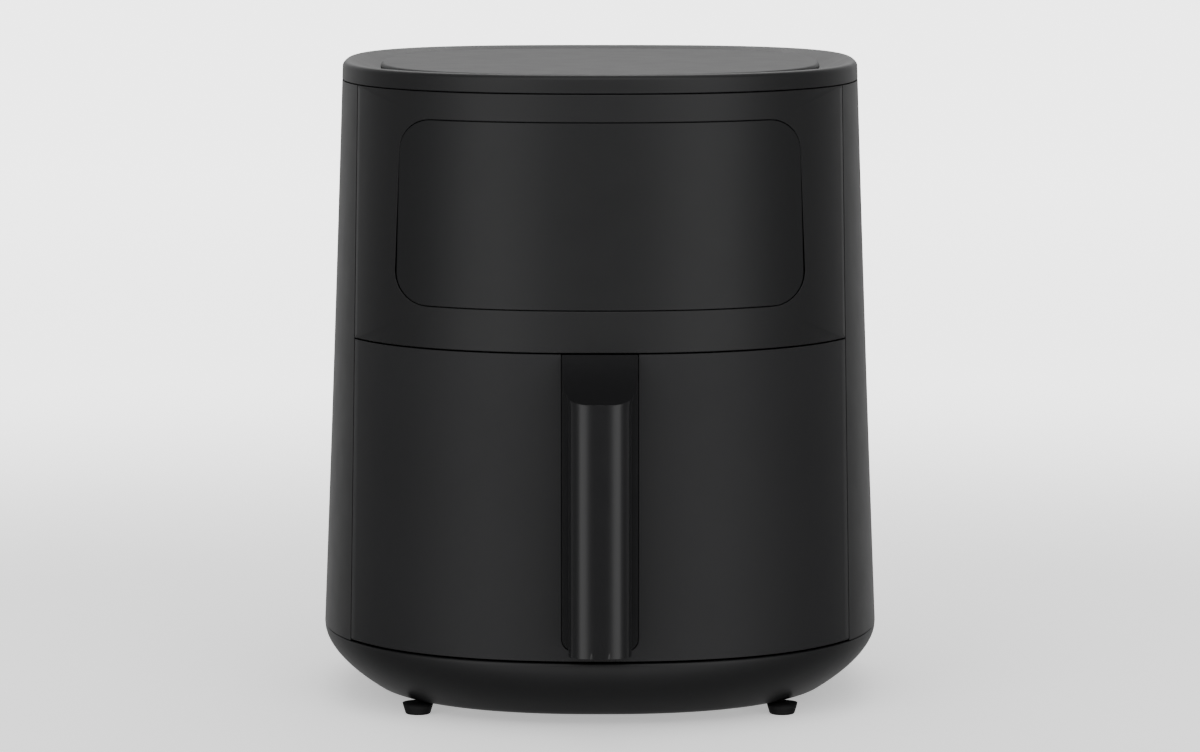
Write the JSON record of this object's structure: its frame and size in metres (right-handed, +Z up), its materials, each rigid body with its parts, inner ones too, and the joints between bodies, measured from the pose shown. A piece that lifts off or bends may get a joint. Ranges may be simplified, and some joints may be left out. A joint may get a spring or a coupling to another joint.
{
  "type": "air fryer",
  "caption": "Tall oval basket air fryer with a dark glossy display, inset top, slide-out drawer with a vertical handle, and a lift-out crisper plate.",
  "frame": {"origin": "centre of the overall box at the level the feet stand on", "axes": "+Z up, front and handle towards -Y, +X to the right seen from the front"},
  "size_m": [0.31, 0.3776, 0.3543],
  "materials": {
    "body": "fine satin texture",
    "panel": "fine matt texture",
    "dark_plastic": "matt",
    "handle": "satin",
    "lens": "high gloss",
    "coated_steel": "non-stick coating, satin",
    "steel": "brushed",
    "rubber": "matt",
    "circuit_board": "solder mask"
  },
  "bodies": {
    "housing": {"outer_shell": "body", "rear_vent": "dark_plastic", "front_fascia": "body", "display_lens": "lens", "display_board": "circuit_board", "top_ring": "body", "top_panel": "panel", "base_tray": "body", "foot_front_left": "rubber", "foot_front_right": "rubber", "foot_rear_left": "rubber", "foot_rear_right": "rubber", "base_screw_1": "steel", "base_screw_2": "steel", "base_screw_3": "steel", "base_screw_4": "steel", "cord_gland": "rubber", "front_sill": "dark_plastic", "bay_floor": "dark_plastic", "bay_liner": "dark_plastic", "guide_left": "panel", "guide_right": "panel", "bay_ceiling": "steel", "air_dome": "steel", "heater_guard": "steel", "heating_element": "steel", "motor": "steel", "motor_bracket": "steel", "thermal_cutout": "dark_plastic", "temperature_probe": "steel", "power_board": "circuit_board", "door_switch": "dark_plastic"},
    "drawer": {"drawer_front": "panel", "drawer_ledge": "dark_plastic", "drawer_inner_cover": "dark_plastic", "pan": "coated_steel", "pan_bracket": "steel", "drawer_striker": "dark_plastic", "handle": "handle", "handle_plate": "handle", "handle_screw_1": "steel", "handle_screw_2": "steel"},
    "crisper": {"crisper_plate": "coated_steel", "plate_foot_front_left": "rubber", "plate_foot_front_right": "rubber", "plate_foot_rear_left": "rubber", "plate_foot_rear_right": "rubber"},
    "rotor": {"motor_shaft": "steel", "hot_air_fan": "steel", "cooling_fan": "dark_plastic", "fan_nut": "steel"},
    "plunger": {"switch_plunger": "panel"}
  },
  "joints": [
    {"name": "drawer_slide", "type": "slide", "parent": "housing", "child": "drawer", "axis": [0, -1, 0], "range_m": [0, 0.31]},
    {"name": "crisper_lift", "type": "slide", "parent": "drawer", "child": "crisper", "axis": [0, 0, 1], "range_m": [0, 0.13]},
    {"name": "fan_spin", "type": "hinge", "parent": "housing", "child": "rotor", "pos_m": [0, 0.0258, 0.28], "axis": [0, 0, 1], "continuous": true},
    {"name": "switch_press", "type": "slide", "parent": "housing", "child": "plunger", "axis": [0, 1, 0], "range_m": [0, 0.0025], "stiffness_N_per_m": 200}
  ]
}
